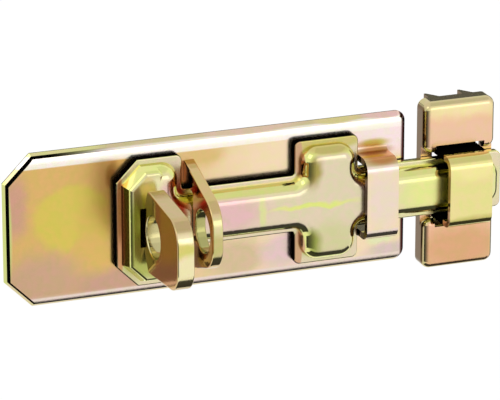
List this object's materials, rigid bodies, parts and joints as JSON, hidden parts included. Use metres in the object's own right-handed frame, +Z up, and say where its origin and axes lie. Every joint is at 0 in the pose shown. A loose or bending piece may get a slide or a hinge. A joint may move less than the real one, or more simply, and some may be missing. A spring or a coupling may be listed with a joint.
{
  "type": "padbolt",
  "caption": "Flat sliding padbolt of pressed steel with a dished base plate, guide strap, cross-shaped bolt, finger pull and staple with padlock eyes, and a looped keeper with a cover.",
  "frame": {"origin": "centre of the base plate's length and width, on the wall plane that the plate's rim and the keeper's feet sit on", "axes": "+X along the bolt's throw into the keeper, +Z up, the front faces -Y and the wall is at Y = 0"},
  "size_m": [0.148, 0.042, 0.0502],
  "materials": {
    "yellow_zinc_steel": "bright zinc plating with a yellow, iridescent passivation"
  },
  "bodies": {
    "base": {"base_plate": "yellow_zinc_steel", "lock_staple": "yellow_zinc_steel", "keeper_loop": "yellow_zinc_steel", "keeper_cover": "yellow_zinc_steel"},
    "bolt": {"slide_bolt": "yellow_zinc_steel", "bolt_pull": "yellow_zinc_steel"}
  },
  "joints": [
    {"name": "bolt_slide", "type": "slide", "parent": "base", "child": "bolt", "axis": [1, 0, 0], "range_m": [-0.0285, 0]}
  ]
}
